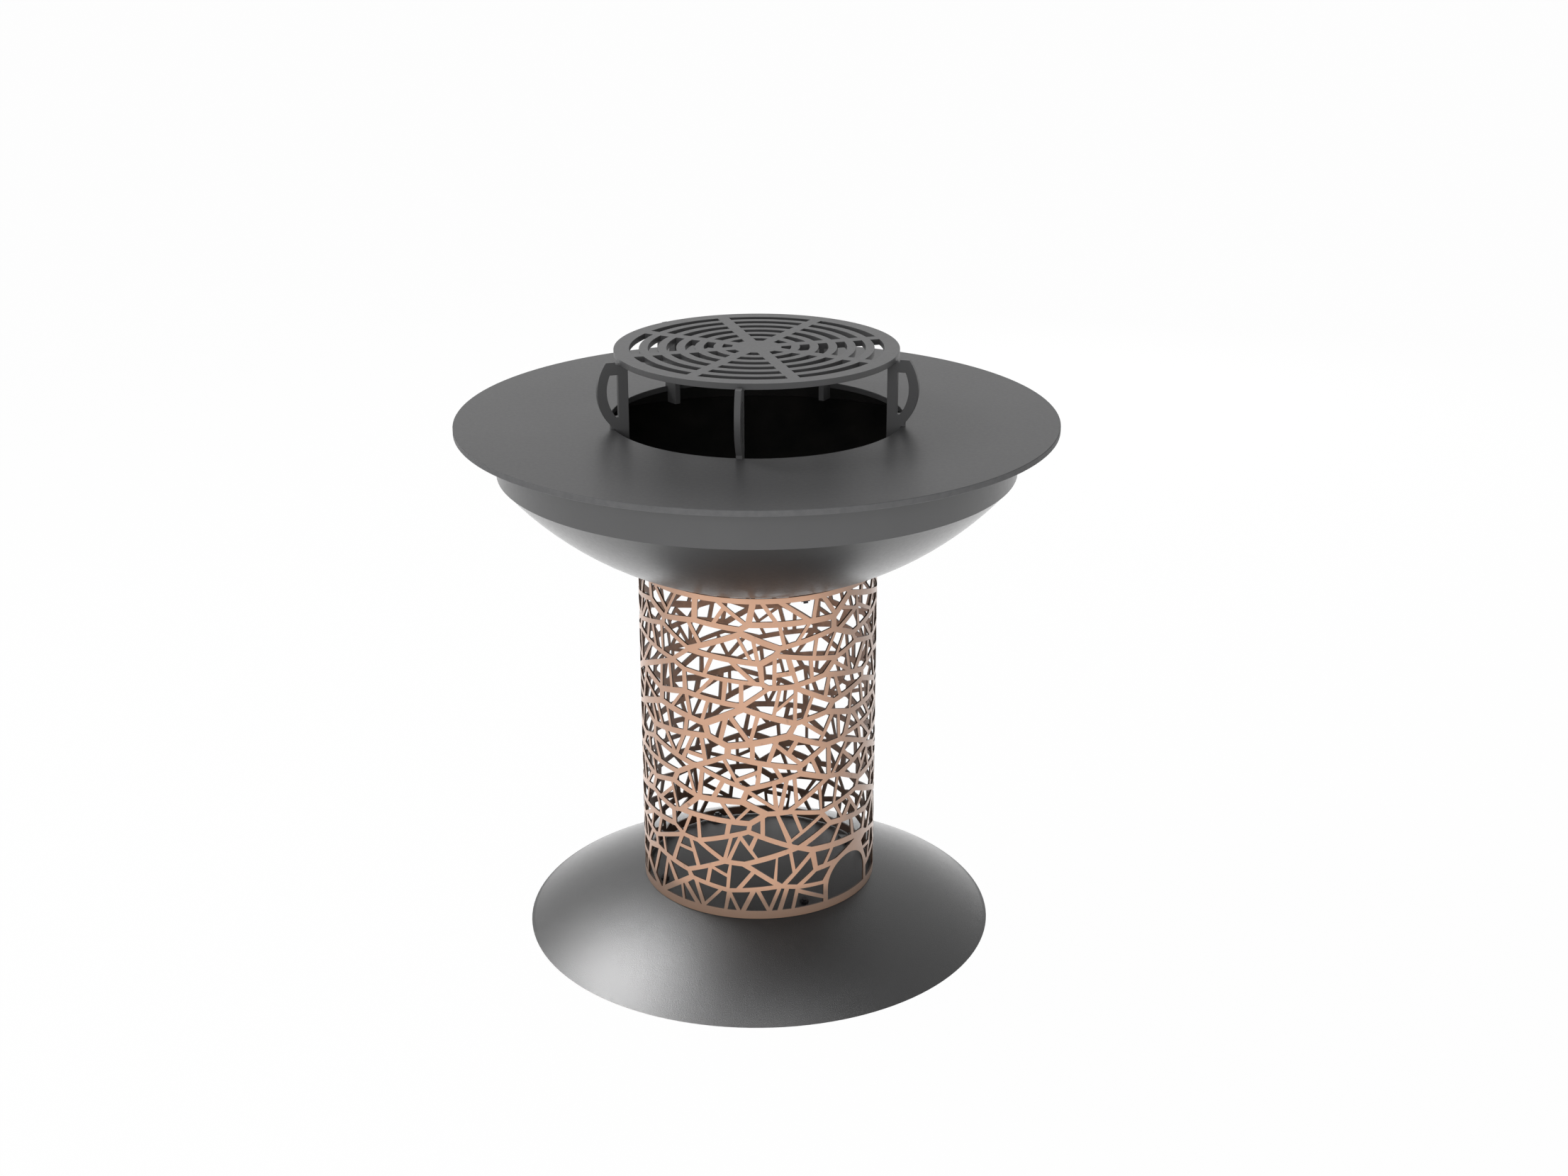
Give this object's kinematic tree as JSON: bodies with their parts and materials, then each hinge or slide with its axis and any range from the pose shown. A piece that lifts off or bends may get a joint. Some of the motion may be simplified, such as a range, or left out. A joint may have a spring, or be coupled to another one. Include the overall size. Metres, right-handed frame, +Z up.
{
  "type": "fire pit",
  "caption": "Round fire pit: pierced copper-coloured tube on a steel dome, dished fire bowl, ring-shaped cooking plate and a lift-off grill rack over the plate's hole.",
  "frame": {"origin": "on the ground under the middle of the dome", "axes": "+Z up along the tube's axis; -Y towards the viewer of the picture, +X to the viewer's right"},
  "size_m": [0.9999, 1, 1.0354],
  "materials": {
    "dome_coat": "matt dark grey coat",
    "bowl_coat": "matt dark grey coat, sooty inside",
    "band_coat": "matt dark grey coat",
    "plate_steel": "matt seasoned dark steel",
    "rack_steel": "matt seasoned dark steel",
    "tube_copper": "satin copper-coloured coat",
    "tab_steel": "matt dark grey coat",
    "fastener_black": "black oxide"
  },
  "bodies": {
    "stand": {"base_dome": "dome_coat", "foot_tabs": "tab_steel", "foot_washers": "fastener_black", "foot_nuts": "fastener_black", "foot_bolts": "fastener_black", "pedestal_tube": "tube_copper", "head_tabs": "tab_steel", "bowl_washers": "fastener_black", "bowl_nuts": "fastener_black", "bowl_bolts": "fastener_black", "fire_bowl": "bowl_coat", "rim_band": "band_coat"},
    "plate": {"cooking_plate": "plate_steel", "plate_lugs": "plate_steel"},
    "rack": {"grill_grate": "rack_steel", "leg_front": "rack_steel", "leg_right": "rack_steel", "leg_back_right": "rack_steel", "leg_back_left": "rack_steel", "leg_left": "rack_steel"}
  },
  "joints": [
    {"name": "plate_lift", "type": "slide", "parent": "stand", "child": "plate", "axis": [0, 0, 1], "range_m": [0, 0.25]},
    {"name": "rack_lift", "type": "slide", "parent": "plate", "child": "rack", "axis": [0, 0, 1], "range_m": [0, 0.2]}
  ]
}
